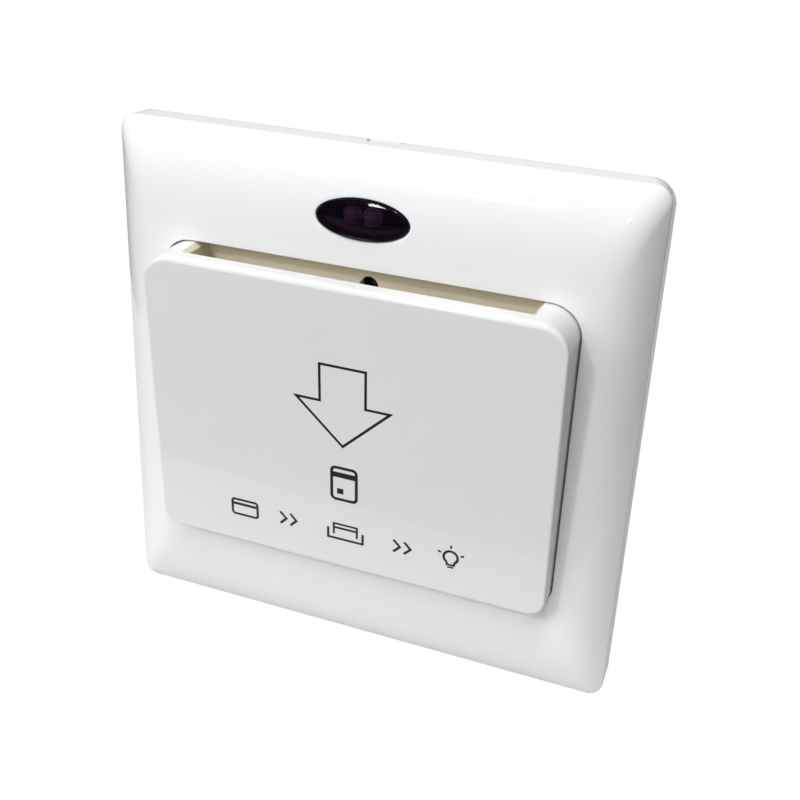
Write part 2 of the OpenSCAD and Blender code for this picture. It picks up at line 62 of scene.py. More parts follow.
def coords(nt, stretch=(1, 1, 1)):
    tc = nt.nodes.new("ShaderNodeTexCoord")
    mp = nt.nodes.new("ShaderNodeMapping")
    mp.inputs["Scale"].default_value = stretch
    nt.links.new(tc.outputs["Object"], mp.inputs["Vector"])
    return mp.outputs["Vector"]


def noise(nt, vec, scale, detail=3.0, rough=0.55):
    n = nt.nodes.new("ShaderNodeTexNoise")
    n.inputs["Scale"].default_value = scale
    n.inputs["Detail"].default_value = detail
    n.inputs["Roughness"].default_value = rough
    nt.links.new(vec, n.inputs["Vector"])
    return n.outputs["Fac"]


def ramp(nt, fac, a, b, lo=0.3, hi=0.7):
    r = nt.nodes.new("ShaderNodeMapRange")
    r.inputs["From Min"].default_value = lo
    r.inputs["From Max"].default_value = hi
    r.inputs["To Min"].default_value = a
    r.inputs["To Max"].default_value = b
    nt.links.new(fac, r.inputs["Value"])
    return r.outputs["Result"]


def mix_col(nt, fac, a, b):
    x = nt.nodes.new("ShaderNodeMix")
    x.data_type = "RGBA"
    x.inputs[6].default_value = (*a[:3], 1)
    x.inputs[7].default_value = (*b[:3], 1)
    nt.links.new(fac, x.inputs[0])
    return x.outputs[2]


def bump(nt, height, strength, dist, under=None):
    b = nt.nodes.new("ShaderNodeBump")
    b.inputs["Strength"].default_value = strength
    b.inputs["Distance"].default_value = dist
    nt.links.new(height, b.inputs["Height"])
    if under is not None:
        nt.links.new(under, b.inputs["Normal"])
    return b.outputs["Normal"]


def plastic(name, col, rough=0.3, rvar=0.04, cvar=0.02, cscale=45, peel=0.0, pscale=420, grain=0.0, gscale=5200,
            spec=0.5, coat=0.0, sheen_scale=700):
    """Moulded plastic: slow colour drift, uneven gloss, soft orange peel and, where asked for, an eroded grain."""
    m, nt, bs = new_mat(name)
    vec = coords(nt)
    big = noise(nt, vec, cscale, 4)
    fac = ramp(nt, big, 0.0, 1.0)
    lo = [c * (1 - cvar) for c in col]
    hi = [min(1, c * (1 + cvar)) for c in col]
    nt.links.new(mix_col(nt, fac, lo, hi), bs.inputs["Base Color"])
    nt.links.new(ramp(nt, noise(nt, vec, sheen_scale, 3), rough - rvar, rough + rvar), bs.inputs["Roughness"])
    n = None
    if peel:
        n = bump(nt, noise(nt, vec, pscale, 2), 1.0, peel * MM)
    if grain:
        n = bump(nt, noise(nt, vec, gscale, 2, 0.7), 1.0, grain * MM, n)
    if n is not None:
        nt.links.new(n, bs.inputs["Normal"])
    bs.inputs["Specular IOR Level"].default_value = spec
    if coat:
        bs.inputs["Coat Weight"].default_value = coat
        bs.inputs["Coat Roughness"].default_value = 0.06
    return m


def metal(name, col, rough=0.3, rvar=0.1, cvar=0.06, scale=900, stretch=(1, 1, 1), scratch=0.0015):
    """Plated or drawn metal: streaked gloss, faint tarnish, fine scratches."""
    m, nt, bs = new_mat(name)
    vec, fine = coords(nt), coords(nt, stretch)
    tarnish = ramp(nt, noise(nt, vec, 260, 5), 0.0, 1.0, 0.35, 0.7)
    nt.links.new(mix_col(nt, tarnish, [c * (1 - cvar * 1.6) for c in col], [min(1, c * (1 + cvar)) for c in col]), bs.inputs["Base Color"])
    streak = noise(nt, fine, scale, 4, 0.65)
    nt.links.new(ramp(nt, streak, max(0.05, rough - rvar), rough + rvar), bs.inputs["Roughness"])
    nt.links.new(bump(nt, streak, 1.0, scratch * MM), bs.inputs["Normal"])
    bs.inputs["Metallic"].default_value = 1.0
    return m


M = {}
M["frame_white"] = plastic("frame_white", (0.84, 0.852, 0.868), rough=0.085, rvar=0.02, cvar=0.008, peel=0.004, spec=0.5)
M["pocket_cream"] = plastic("pocket_cream", (0.80, 0.803, 0.804), rough=0.05, rvar=0.012, cvar=0.010, peel=0.003, spec=0.5)
M["base_plastic"] = plastic("base_plastic", (0.66, 0.66, 0.63), rough=0.46, rvar=0.06, cvar=0.03, grain=0.006)
M["housing_plastic"] = plastic("housing_plastic", (0.78, 0.78, 0.76), rough=0.48, rvar=0.07, cvar=0.025, cscale=80, grain=0.010, gscale=4200)
M["zinc_screw"] = metal("zinc_screw", (0.60, 0.61, 0.62), rough=0.30, scale=2200, stretch=(1, 1, 1))
M["black_resin"] = plastic("black_resin", (0.012, 0.012, 0.014), rough=0.22, rvar=0.06, cvar=0.15, peel=0.004)
M["black_plastic"] = plastic("black_plastic", (0.020, 0.020, 0.022), rough=0.42, rvar=0.06, cvar=0.12, grain=0.006)
M["natural_plastic"] = plastic("natural_plastic", (0.70, 0.66, 0.56), rough=0.38, rvar=0.06, cvar=0.04, cscale=120, peel=0.006)
M["red_plastic"] = plastic("red_plastic", (0.45, 0.035, 0.03), rough=0.30, rvar=0.05, cvar=0.06, peel=0.004)
M["spring_steel"] = metal("spring_steel", (0.50, 0.51, 0.53), rough=0.26, scale=3000)
M["contact_brass"] = metal("contact_brass", (0.72, 0.50, 0.19), rough=0.30, scale=1500, stretch=(0.15, 1, 1))
M["soft_iron"] = metal("soft_iron", (0.47, 0.47, 0.47), rough=0.36, scale=1500, stretch=(1, 0.2, 1))
M["relay_plastic"] = plastic("relay_plastic", (0.016, 0.040, 0.125), rough=0.34, rvar=0.05, cvar=0.08, peel=0.006)
M["enamelled_copper"] = metal("enamelled_copper", (0.50, 0.19, 0.06), rough=0.24, scale=2500)
M["terminal_plastic"] = plastic("terminal_plastic", (0.030, 0.165, 0.085), rough=0.40, rvar=0.06, cvar=0.08, grain=0.006)
M["plated_cage"] = metal("plated_cage", (0.66, 0.66, 0.65), rough=0.28, scale=1700)
M["capacitor_yellow"] = plastic("capacitor_yellow", (0.60, 0.40, 0.045), rough=0.36, rvar=0.06, cvar=0.05, peel=0.006)
M["capacitor_sleeve"] = plastic("capacitor_sleeve", (0.020, 0.038, 0.125), rough=0.24, rvar=0.05, cvar=0.08, peel=0.004)
M["varistor_coat"] = plastic("varistor_coat", (0.020, 0.090, 0.330), rough=0.24, rvar=0.06, cvar=0.10, peel=0.02, pscale=900)
M["resistor_coat"] = plastic("resistor_coat", (0.16, 0.36, 0.46), rough=0.32, rvar=0.06, cvar=0.06, peel=0.008)
# pocket_inner: painted shade and interreflected light, a warmer yellow-beige than the cream plastic that stands for the
# warm bounce light inside the slot recess
M["pocket_inner"] = plastic("pocket_inner", (0.85, 0.79, 0.63), rough=0.34, rvar=0.05, cvar=0.03, cscale=160, peel=0.006)
M["ink"] = plastic("print_ink", (0.012, 0.013, 0.018), rough=0.34, rvar=0.06, cvar=0.25, cscale=900)
M["silk"] = plastic("silkscreen", (0.72, 0.73, 0.70), rough=0.55, rvar=0.06, cvar=0.06, cscale=700)
M["solder"] = metal("solder", (0.58, 0.58, 0.57), rough=0.22, scale=2500)
M["track"] = plastic("masked_track", (0.020, 0.165, 0.065), rough=0.30, rvar=0.05, cvar=0.06, spec=0.5)


def board():
    """Green solder mask over glass weave."""
    m, nt, bs = new_mat("circuit_board")
    vec = coords(nt)
    w = nt.nodes.new("ShaderNodeTexWave")
    w.inputs["Scale"].default_value = 900
    w.inputs["Distortion"].default_value = 0.6
    w.inputs["Detail"].default_value = 1
    nt.links.new(vec, w.inputs["Vector"])
    fac = ramp(nt, noise(nt, vec, 130, 4), 0, 1)
    nt.links.new(mix_col(nt, fac, (0.010, 0.085, 0.035), (0.016, 0.115, 0.048)), bs.inputs["Base Color"])
    nt.links.new(ramp(nt, noise(nt, vec, 1400, 3), 0.26, 0.38), bs.inputs["Roughness"])
    nt.links.new(bump(nt, w.outputs["Fac"], 1.0, 0.002 * MM), bs.inputs["Normal"])
    return m


M["circuit_board"] = board()


def see_through(name, tint, gloss_rough=0.04, haze=0.0, haze_col=(0.02, 0.012, 0.024), scale=300):
    """Tinted clear plastic: a gloss over a tinted see-through body with a little haze that drifts."""
    m = bpy.data.materials.new(name)
    m.use_nodes = True
    nt = m.node_tree
    nt.nodes.clear()
    out = nt.nodes.new("ShaderNodeOutputMaterial")
    vec = coords(nt)
    tr = nt.nodes.new("ShaderNodeBsdfTransparent")
    fac = ramp(nt, noise(nt, vec, scale, 3), 0, 1)
    nt.links.new(mix_col(nt, fac, [c * 0.92 for c in tint], [min(1, c * 1.08) for c in tint]), tr.inputs["Color"])
    df = nt.nodes.new("ShaderNodeBsdfDiffuse")
    df.inputs["Color"].default_value = (*haze_col, 1)
    body = nt.nodes.new("ShaderNodeMixShader")
    body.inputs[0].default_value = haze
    nt.links.new(tr.outputs[0], body.inputs[1])
    nt.links.new(df.outputs[0], body.inputs[2])
    gl = nt.nodes.new("ShaderNodeBsdfGlossy")
    gl.inputs["Color"].default_value = (1, 1, 1, 1)
    nt.links.new(ramp(nt, noise(nt, vec, 900, 2), gloss_rough * 0.8, gloss_rough * 1.3), gl.inputs["Roughness"])
    fr = nt.nodes.new("ShaderNodeFresnel")
    fr.inputs["IOR"].default_value = 1.49
    mx = nt.nodes.new("ShaderNodeMixShader")
    nt.links.new(fr.outputs[0], mx.inputs[0])
    nt.links.new(body.outputs[0], mx.inputs[1])
    nt.links.new(gl.outputs[0], mx.inputs[2])
    nt.links.new(mx.outputs[0], out.inputs[0])
    return m


M["smoked_lens"] = see_through("smoked_lens", (0.42, 0.31, 0.45), 0.045, haze=0.12, haze_col=(0.012, 0.007, 0.015))
M["lens_inner"] = see_through("lens_inner", (0.90, 0.84, 0.92), 0.08, haze=0.04, haze_col=(0.05, 0.035, 0.06))
M["lens_wall"] = plastic("lens_wall", (0.24, 0.165, 0.26), rough=0.30, rvar=0.06, cvar=0.12, cscale=400)
M["red_lamp"] = see_through("red_lamp", (0.80, 0.62, 0.62), 0.06, haze=0.45, haze_col=(0.70, 0.56, 0.58), scale=900)
M["green_lamp"] = see_through("green_lamp", (0.68, 0.72, 0.66), 0.06, haze=0.45, haze_col=(0.62, 0.58, 0.60), scale=900)


# ---------------------------------------------------------------- mesh helpers
def link(ob):
    bpy.context.scene.collection.objects.link(ob)
    return ob


def mesh_object(name, verts, faces, mats, idx=None):
    me = bpy.data.meshes.new(name)
    me.from_pydata([(v[0] * MM, v[1] * MM, v[2] * MM) for v in verts], [], faces)
    for m in mats:
        me.materials.append(m)
    if idx is not None:
        me.polygons.foreach_set("material_index", idx)
    bm = bmesh.new()
    bm.from_mesh(me)
    bmesh.ops.recalc_face_normals(bm, faces=bm.faces)
    bm.to_mesh(me)
    bm.free()
    me.update()
    return link(bpy.data.objects.new(name, me))


def smooth(ob, angle=35.0, weighted=True):
    me = ob.data
    me.polygons.foreach_set("use_smooth", [True] * len(me.polygons))
    me.set_sharp_from_angle(angle=math.radians(angle))
    if weighted:
        w = ob.modifiers.new("normals", "WEIGHTED_NORMAL")
        w.mode = "FACE_AREA"
        w.weight = 60
        w.keep_sharp = True
    return ob


def apply_mods(ob):
    dg = bpy.context.evaluated_depsgraph_get()
    dg.update()
    me = bpy.data.meshes.new_from_object(ob.evaluated_get(dg))
    ob.modifiers.clear()
    old = ob.data
    ob.data = me
    bpy.data.meshes.remove(old)
    return ob


def boolean(ob, other, op):
    b = ob.modifiers.new("b", "BOOLEAN")
    b.operation = op
    b.solver = "EXACT"
    b.object = other
    apply_mods(ob)
    me = other.data
    bpy.data.objects.remove(other)
    bpy.data.meshes.remove(me)
    return ob


def bevel(ob, width, seg=3, angle=40.0):
    b = ob.modifiers.new("v", "BEVEL")
    b.width = width * MM
    b.segments = seg
    b.limit_method = "ANGLE"
    b.angle_limit = math.radians(angle)
    b.use_clamp_overlap = True
    b.miter_outer = "MITER_ARC"
    return apply_mods(ob)


def cuboid(name, x0, x1, y0, y1, z0, z1, mats=()):
    v = [(x, y, z) for x in (x0, x1) for y in (y0, y1) for z in (z0, z1)]
    f = [(0, 1, 3, 2), (4, 6, 7, 5), (0, 4, 5, 1), (2, 3, 7, 6), (0, 2, 6, 4), (1, 5, 7, 3)]
    return mesh_object(name, v, f, mats)


def rod(name, r, y0, y1, x, z, n=40, mats=(), r1=None):
    """A round bar along Y, or a cone if r1 is given."""
    r1 = r if r1 is None else r1
    v = [(x + q * math.cos(2 * math.pi * k / n), y, z + q * math.sin(2 * math.pi * k / n)) for y, q in ((y0, r), (y1, r1)) for k in range(n)]
    f = [(k, (k + 1) % n, n + (k + 1) % n, n + k) for k in range(n)] + [tuple(range(n))[::-1], tuple(range(n, 2 * n))]
    return mesh_object(name, v, f, mats)


def join(ob, *others):
    """Adds the meshes of others to ob as further islands."""
    bm = bmesh.new()
    bm.from_mesh(ob.data)
    for o in others:
        bm.from_mesh(o.data)
        me = o.data
        bpy.data.objects.remove(o)
        bpy.data.meshes.remove(me)
    bm.to_mesh(ob.data)
    bm.free()
    return ob


def place(ob, body, node=None, slot=None):
    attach(ob, body)
    if node:
        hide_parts(*([node] if isinstance(node, str) else node))
        slot = slot or SLOT_OF[node if isinstance(node, str) else node[0]]
    return ob


# ---------------------------------------------------------------- front frame
HW = 43.0
XM = [-13.0, -11.2, -9.6, -8.0, -6.4, -4.8, -3.6, -2.5, -1.25, 0.0, 1.25, 2.5, 3.6, 4.8, 6.4, 8.0, 9.6, 11.2, 13.0]
NE, NS, NC = 8, 24, 12
LENS_X, LENS_Z, LENS_A, LENS_B = -0.22, 32.85, 7.36, 3.02


def ring(a, b, r, rb):
    """Points (x, z, share of the top edge's profile) around a rectangle rounded by r on top and rb below, clockwise."""
    def across(e):
        return [-e + (e - 13.0) * k / NE for k in range(NE)] + XM + [13.0 + (e - 13.0) * k / NE for k in range(1, NE + 1)]

    def corner(cx, cz, a0, q):
        out = []
        for k in range(1, NC):
            t = math.radians(a0 - 90.0 * k / NC)
            w = abs(math.sin(t))
            w = w * w * (3 - 2 * w)
            out.append((cx + q * math.cos(t), cz + q * math.sin(t), w))
        return out

    e, f, h, low = a - r, a - rb, b - r, rb - b
    p = [(x, b, 1.0) for x in across(e)]
    p += corner(e, h, 90, r)
    p += [(a, h + (low - h) * k / NS, 0.0) for k in range(NS + 1)]
    p += corner(f, low, 0, rb)
    p += [(x, -b, 1.0) for x in reversed(across(f))]
    p += corner(-f, low, -90, rb)
    p += [(-a, low + (h - low) * k / NS, 0.0) for k in range(NS + 1)]
    p += corner(-e, h, 180, r)
    return p


COL0 = NE  # index of the column at x = -13
FACE_Y = 8.4  # how far the face stands off the wall at the window
EDGE_R = 0.55  # softness of the front edge
WIN_X, WIN_T, WIN_B, WIN_SOFT = 33.68, 25.35, 25.05, 0.2
WIN_R, WIN_RB = 4.9, 3.3  # corner radii of the window: upper, lower
PX, PZ = 2.6, 3.2  # how quickly the pillow levels off: from the sides, from the top and bottom
SKIRT_Y, SKIRT_IN = 4.05, 0.04  # where the soft front edge starts, and how far the skirt leans in by then


def edge_profile(run, p):
    """(angle of the soft edge, its inset, its height) so that it meets the pillow of this run tangentially."""
    a = 65.0
    for _ in range(30):
        d0 = SKIRT_IN + EDGE_R * (1 - math.cos(math.radians(a)))
        y0 = SKIRT_Y + EDGE_R * math.sin(math.radians(a))
        a = 90 - math.degrees(math.atan((FACE_Y - y0) * p / (run - d0)))
    return a, d0, y0


AX, DX, YX = edge_profile(HW - WIN_X - WIN_SOFT, PX)
AZ, DZ, YZ = edge_profile(HW - WIN_T - WIN_SOFT, PZ)
RUN_X, RUN_T, RUN_B = HW - WIN_X - WIN_SOFT, HW - WIN_T - WIN_SOFT, HW - WIN_B - WIN_SOFT


def face_y(s, y0, p):
    return -(y0 + (FACE_Y - y0) * (1 - (1 - s) ** p))


def top_face_y(z):
    return face_y(min(1.0, max(0.0, (HW - z - DZ) / (RUN_T - DZ))), YZ, PZ)


def under_y(z):
    return -5.05 if z <= 37.2 else -5.05 + 0.55 * (z - 37.2)


def build_frame():
    rows = []  # (half width, top, bottom, upper corner radius, y on the sides, y on top and bottom, lower corner radius)

    def row(a, r, y, yz=None, zt=None, zb=None, rb=None):
        rows.append((a, a if zt is None else zt, a if zb is None else zb, r, y, y if yz is None else yz, r if rb is None else rb))
        return len(rows) - 1

    row(42.85, 3.55, -0.30)
    row(42.956, 3.656, -0.344)
    row(43.0, 3.7, -0.45)
    skirt = {}
    for y in (-1.2, -2.0, -3.0, -SKIRT_Y):
        skirt[y] = row(HW - SKIRT_IN * (-0.3 - y) / (SKIRT_Y - 0.3), 3.7 - 1.1 * (-0.45 - y) / (SKIRT_Y - 0.45), y)
    na = 6
    for k in range(1, na + 1):
        tx, tz = math.radians(AX * k / na), math.radians(AZ * k / na)
        z = HW - SKIRT_IN - EDGE_R * (1 - math.cos(tz))
        row(HW - SKIRT_IN - EDGE_R * (1 - math.cos(tx)), 2.6 - 0.1 * k / na, -(SKIRT_Y + EDGE_R * math.sin(tx)), -(SKIRT_Y + EDGE_R * math.sin(tz)), z, z)
    nf = 24
    face = {0: len(rows) - 1}
    for k in range(1, nf + 1):
        s = k / nf
        face[k] = row(HW - (DX + (RUN_X - DX) * s), 2.5 + (WIN_R + WIN_SOFT - 2.5) * s, face_y(s, YX, PX), face_y(s, YZ, PZ),
                      HW - (DZ + (RUN_T - DZ) * s), HW - (DZ + (RUN_B - DZ) * s), 2.5 + (WIN_RB + WIN_SOFT - 2.5) * s)
    for k in range(1, 6):
        t = math.radians(18 * k)
        q = WIN_SOFT * (1 - math.sin(t))
        row(WIN_X + q, WIN_R + q, -(FACE_Y - WIN_SOFT * (1 - math.cos(t))), None, WIN_T + q, WIN_B + q, WIN_RB + q)
    row(WIN_X, WIN_R, -6.6, None, WIN_T, WIN_B, WIN_RB)
    row(WIN_X, WIN_R, -5.05, None, WIN_T, WIN_B, WIN_RB)
    k0, k1 = 6, 21
    under = {}
    zmax = rows[face[k0]][1]
    for k in range(k1, k0 - 1, -1):
        z = rows[face[k]][1]
        g = (z - WIN_T) / (zmax - WIN_T)
        under[k] = row(WIN_X + 0.35 + (37.9 - WIN_X - 0.35) * g, 5.0 - 3.1 * g, under_y(z), None, z, rows[face[k]][2], 3.4 - 1.5 * g)
    row(39.0, 1.9, -3.9)
    row(41.0, 1.9, -3.25)
    row(41.4, 1.9, -2.85)
    inner = row(41.4, 2.1, -2.0)
    row(41.4, 2.5, -0.45)
    row(41.52, 2.6, -0.30)

    verts, n = [], None
    for a, zt, zb, r, yx, yz, rb in rows:
        p = ring(a, (zt + zb) / 2, r, rb)
        n = len(p)
        verts += [(x, w * yz + (1 - w) * yx, z + (zt - zb) / 2) for x, z, w in p]
    nr = len(rows)
    c_lens = (COL0 + XM.index(-9.6), COL0 + XM.index(9.6))
    c_notch = (COL0 + XM.index(-2.5), COL0 + XM.index(2.5))
    out_row = skirt[-2.0]
    gone_rows = [(inner + k) % nr for k in range((out_row - inner) % nr)]
    faces = []
    for i in range(nr):
        i2 = (i + 1) % nr
        for c in range(n):
            if c_lens[0] <= c < c_lens[1] and (face[k0] <= i < face[k1] or under[k1] <= i < under[k0]):
                continue
            if c_notch[0] <= c < c_notch[1] and i in gone_rows:
                continue
            c2 = (c + 1) % n
            faces.append((i * n + c, i * n + c2, i2 * n + c2, i2 * n + c))
    # walls of the pry notch
    for c in range(*c_notch):
        faces.append((out_row * n + c, out_row * n + c + 1, inner * n + c + 1, inner * n + c))
    for c in c_notch:
        faces.append(tuple(((inner + k) % nr) * n + c for k in range((out_row - inner) % nr + 1)))

    # oval hole for the lens: both faces of the shell run into it, with a soft front lip
    def loop_of(ids):
        p = [ids[k0] * n + c for c in range(c_lens[0], c_lens[1])]
        p += [ids[k] * n + c_lens[1] for k in range(k0, k1)]
        p += [ids[k1] * n + c for c in range(c_lens[1], c_lens[0], -1)]
        p += [ids[k] * n + c_lens[0] for k in range(k1, k0, -1)]
        return p

    def strip(a, b):
        m = len(a)
        for q in range(m):
            faces.append((a[q], a[(q + 1) % m], b[(q + 1) % m], b[q]))

    ends = []
    for ids, y_at, lip in ((face, top_face_y, 0.22), (under, under_y, 0.0)):
        loop = loop_of(ids)
        angle = [math.atan2((verts[q][2] - LENS_Z) / 5.3, (verts[q][0] - LENS_X) / 9.6) for q in loop]
        ea, eb = LENS_A + 0.1, LENS_B + 0.1
        last = loop
        for f in (0.2, 0.42, 0.64, 0.84, 1.0):
            new = []
            for q, t in zip(loop, angle):
                ex, ez = LENS_X + (ea + lip) * math.cos(t), LENS_Z + (eb + lip) * math.sin(t)
                x, z = verts[q][0] + (ex - verts[q][0]) * f, verts[q][2] + (ez - verts[q][2]) * f
                new.append(len(verts))
                verts.append((x, y_at(z), z))
            strip(last, new)
            last = new
        if lip:
            for k in range(1, 5):
                t2 = math.radians(22.5 * k)
                new = []
                for t in angle:
                    o = lip * (1 - math.sin(t2))
                    x, z = LENS_X + (ea + o) * math.cos(t), LENS_Z + (eb + o) * math.sin(t)
                    new.append(len(verts))
                    verts.append((x, y_at(z) + lip * (1 - math.cos(t2)), z))
                strip(last, new)
                last = new
        ends.append(last)
    strip(ends[0], ends[1])
    ob = mesh_object("front_frame_shell", verts, faces, [M["frame_white"]])
    # clip tongues inside the skirt and the heat stakes of the pocket
    extra = []
    for s in (-1, 1):
        for z in (-24, 24):
            t = cuboid("t", min(s * 41.5, s * 39.7), max(s * 41.5, s * 39.7), -3.4, -0.5, z - 4, z + 4)
            extra.append(bevel(t, 0.35, 3))
    for x, z in ((-34.6, 13), (34.6, 13), (-34.6, -13), (34.6, -13), (-12, -26.1), (12, -26.1)):
        extra.append(rod("s", 0.8, -5.6, -3.3, x, z, 28))
        extra.append(bevel(rod("h", 1.3, -3.38, -2.85, x, z, 32), 0.22, 3))
    join(ob, *extra)
    smooth(ob, 38)
    return place(ob, "front_panel", "front_frame")


build_frame()

# ---------------------------------------------------------------- card pocket
LEAN = (15.5 - 12.22) / 49.4
P_SIDE, P_TOP = 0.4, 1.0  # rounding of the front edges: sides and bottom, top


def pocket_front(z):
    return -(12.22 + LEAN * (z + 24.7))


def outline(a, z0, z1, r, nc=16, rb=None):
    """Points (x, z, outward normal, share of the top edge) around a rectangle rounded by r on top and rb below."""
    p = []
    b = r if rb is None else rb
    for cx, cz, a0, r in ((a - r, z1 - r, 90, r), (a - b, z0 + b, 0, b), (-a + b, z0 + b, -90, b), (-a + r, z1 - r, 180, r)):
        for k in range(nc + 1):
            t = math.radians(a0 - 90 * k / nc)
            up = max(0.0, math.sin(t)) ** 1.5
            p.append((cx + r * math.cos(t), cz + r * math.sin(t), math.cos(t), math.sin(t), up))
    return p


def rounded(a, z0, z1, r, nc=14, rb=None):
    return [q[:2] for q in outline(a, z0, z1, r, nc, rb)]


def loft(name, rings, mats, cap0=True, cap1=True):
    n = len(rings[0])
    verts = [v for r in rings for v in r]
    faces = [(i * n + k, i * n + (k + 1) % n, (i + 1) * n + (k + 1) % n, (i + 1) * n + k) for i in range(len(rings) - 1) for k in range(n)]
    if cap0:
        faces.append(tuple(range(n))[::-1])
    if cap1:
        faces.append(tuple((len(rings) - 1) * n + k for k in range(n)))
    return mesh_object(name, verts, faces, mats)


def build_pocket():
    rings = [[(x, y, z) for x, z in rounded(33.5, -24.87, 25.15, 4.75, 16, 3.1)] for y in (-3.4, -6.0, -8.4)]
    body = [(x + 0.12, z, nx, nz, up) for x, z, nx, nz, up in outline(33.42, -24.82, 24.98, 4.6, 16, 2.9)]
    for k in range(0, 10):
        t = math.radians(10 * k)
        ring_k = []
        for x, z, nx, nz, up in body:
            r = P_SIDE + (P_TOP - P_SIDE) * up
            q = r * (1 - math.cos(t))
            z2 = z - nz * q
            ring_k.append((x - nx * q, pocket_front(z2) + r * (1 - math.sin(t)), z2))
        rings.append(ring_k)
    ob = loft("pocket_shell", rings, [M["pocket_cream"], M["pocket_inner"]])
    flange = loft("f", [[(x, y, z) for x, z in rounded(35.8, -27.4, 24.4, 2.0, nc=6)] for y in (-5.0, -3.4)], [M["pocket_cream"]])
    boolean(ob, flange, "UNION")
    # the slot, open at the top and to the rear wall's seat
    w, z0, z1 = 27.25, -20.5, 40.0
    v = [(x, y, z) for x in (-w, w) for y, z in ((-3.0, z0), (-3.0, z1), (pocket_front(z1) + 2.7, z1), (pocket_front(z0) + 2.7, z0))]
    boolean(ob, mesh_object("c", v, [(0, 1, 2, 3), (7, 6, 5, 4), (0, 4, 5, 1), (1, 5, 6, 2), (2, 6, 7, 3), (3, 7, 4, 0)], []), "DIFFERENCE")
    c, zt = 0.65, 25.08
    v = [(x, y, z) for y in (-12.75, -3.0) for x, z in ((-w, zt - c), (w, zt - c), (w + c + 1, zt + 1), (-w - c - 1, zt + 1))]
    boolean(ob, mesh_object("c", v, [(0, 1, 2, 3), (7, 6, 5, 4), (0, 4, 5, 1), (1, 5, 6, 2), (2, 6, 7, 3), (3, 7, 4, 0)], []), "DIFFERENCE")
    boolean(ob, cuboid("c", -31.8, 31.8, -5.0, -2.0, -22.6, 40), "DIFFERENCE")
    for x, z in ((-30, 17), (30, 17), (-30, -17), (30, -17)):
        boolean(ob, rod("c", 0.95, -10, -4, x, z, 24), "DIFFERENCE")
    for x, z in ((-34.6, 13), (34.6, 13), (-34.6, -13), (34.6, -13), (-12, -26.1), (12, -26.1)):
        boolean(ob, rod("c", 0.85, -6, -3, x, z, 24), "DIFFERENCE")
    bm = bmesh.new()
    bm.from_mesh(ob.data)
    bmesh.ops.remove_doubles(bm, verts=bm.verts, dist=2e-6)
    bmesh.ops.dissolve_limit(bm, angle_limit=math.radians(0.4), verts=bm.verts, edges=bm.edges)
    bm.to_mesh(ob.data)
    bm.free()
    bevel(ob, 0.32, 4, 48)
    # the faces inside the slot, chamfers included, get pocket_inner, the painted warm interreflection colour of the
    # recess
    for f in ob.data.polygons:
        x, y, z = f.center / MM
        f.material_index = 1 if abs(x) < 28.0 and z > -20.8 and y > pocket_front(z) + 2.6 and z < 24.95 else 0
    smooth(ob, 40)
    return place(ob, "front_panel", "pocket_cover")


build_pocket()


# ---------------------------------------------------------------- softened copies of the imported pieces
def soften(node, width, seg=2, angle=38.0, mat=None, name=None):
    """A copy of a node's mesh with its edges rounded, standing for the node."""
    src = NODES[node]
    me = src.data.copy()
    ob = link(bpy.data.objects.new(name or node + "_moulded", me))
    bm = bmesh.new()
    bm.from_mesh(me)
    bmesh.ops.remove_doubles(bm, verts=bm.verts, dist=1e-6)
    bmesh.ops.dissolve_limit(bm, angle_limit=math.radians(0.6), verts=bm.verts, edges=bm.edges)
    bm.to_mesh(me)
    bm.free()
    me.materials.clear()
    me.materials.append(mat or M[SLOT_OF[node]])
    bevel(ob, width, seg, angle)
    smooth(ob, 42)
    return place(ob, BODY_OF[node], node)


SOFT = {
    "pocket_back": 0.22, "base_plate": 0.28, "rear_housing": 0.45, "switch_bracket": 0.22, "card_lever": 0.3,
    "microswitch_case": 0.2, "microswitch_cover": 0.15, "microswitch_button": 0.3, "relay_cover": 0.5, "relay_base": 0.3,
    "terminal_block": 0.3, "film_capacitor": 0.6, "relay_armature": 0.2, "relay_yoke": 0.2, "main_pcb": 0.1,
    "pocket_screws": 0.08, "housing_screws": 0.1, "pcb_screws": 0.12, "bracket_screws": 0.12, "microswitch_screws": 0.12,
    "terminal_screws": 0.12, "terminal_cages": 0.12, "lever_clip": 0.06, "lever_pin": 0.15, "relay_fixed_contact": 0.1,
    "relay_contact_spring": 0.06, "controller_chip": 0.06,
}
# the slot's rear wall (pocket_back) takes pocket_inner, the painted warm interreflection colour of the recess
for node, width in SOFT.items():
    soften(node, width, 3 if width >= 0.2 else 2, mat=M["pocket_inner"] if node == "pocket_back" else None)


def tube(name, pts, r, mat, m=14):
    """A round wire along the points, with closed ends."""
    p = [Vector(q) for q in pts]
    verts, u = [], None
    for i, q in enumerate(p):
        t = (p[min(i + 1, len(p) - 1)] - p[max(i - 1, 0)]).normalized()
        u = t.orthogonal().normalized() if u is None else (u - t * u.dot(t)).normalized()
        v = t.cross(u)
        verts += [tuple(q + r * (u * math.cos(2 * math.pi * k / m) + v * math.sin(2 * math.pi * k / m))) for k in range(m)]
    faces = [(i * m + k, i * m + (k + 1) % m, (i + 1) * m + (k + 1) % m, (i + 1) * m + k) for i in range(len(p) - 1) for k in range(m)]
    faces += [tuple(range(m))[::-1], tuple((len(p) - 1) * m + k for k in range(m))]
    ob = mesh_object(name, verts, faces, [mat])
    smooth(ob, 40)
    return ob


def bent(pts, r, n=6):
    """The same path with its inner corners rounded."""
    p = [Vector(q) for q in pts]
    out = [p[0]]
    for a, b, c in zip(p, p[1:], p[2:]):
        da, dc = min(r, (a - b).length * 0.45), min(r, (c - b).length * 0.45)
        s, e = b + (a - b).normalized() * da, b + (c - b).normalized() * dc
        out += [s * (1 - k / n) ** 2 + b * 2 * (k / n) * (1 - k / n) + e * (k / n) ** 2 for k in range(n + 1)]
    return [tuple(q) for q in out + [p[-1]]]


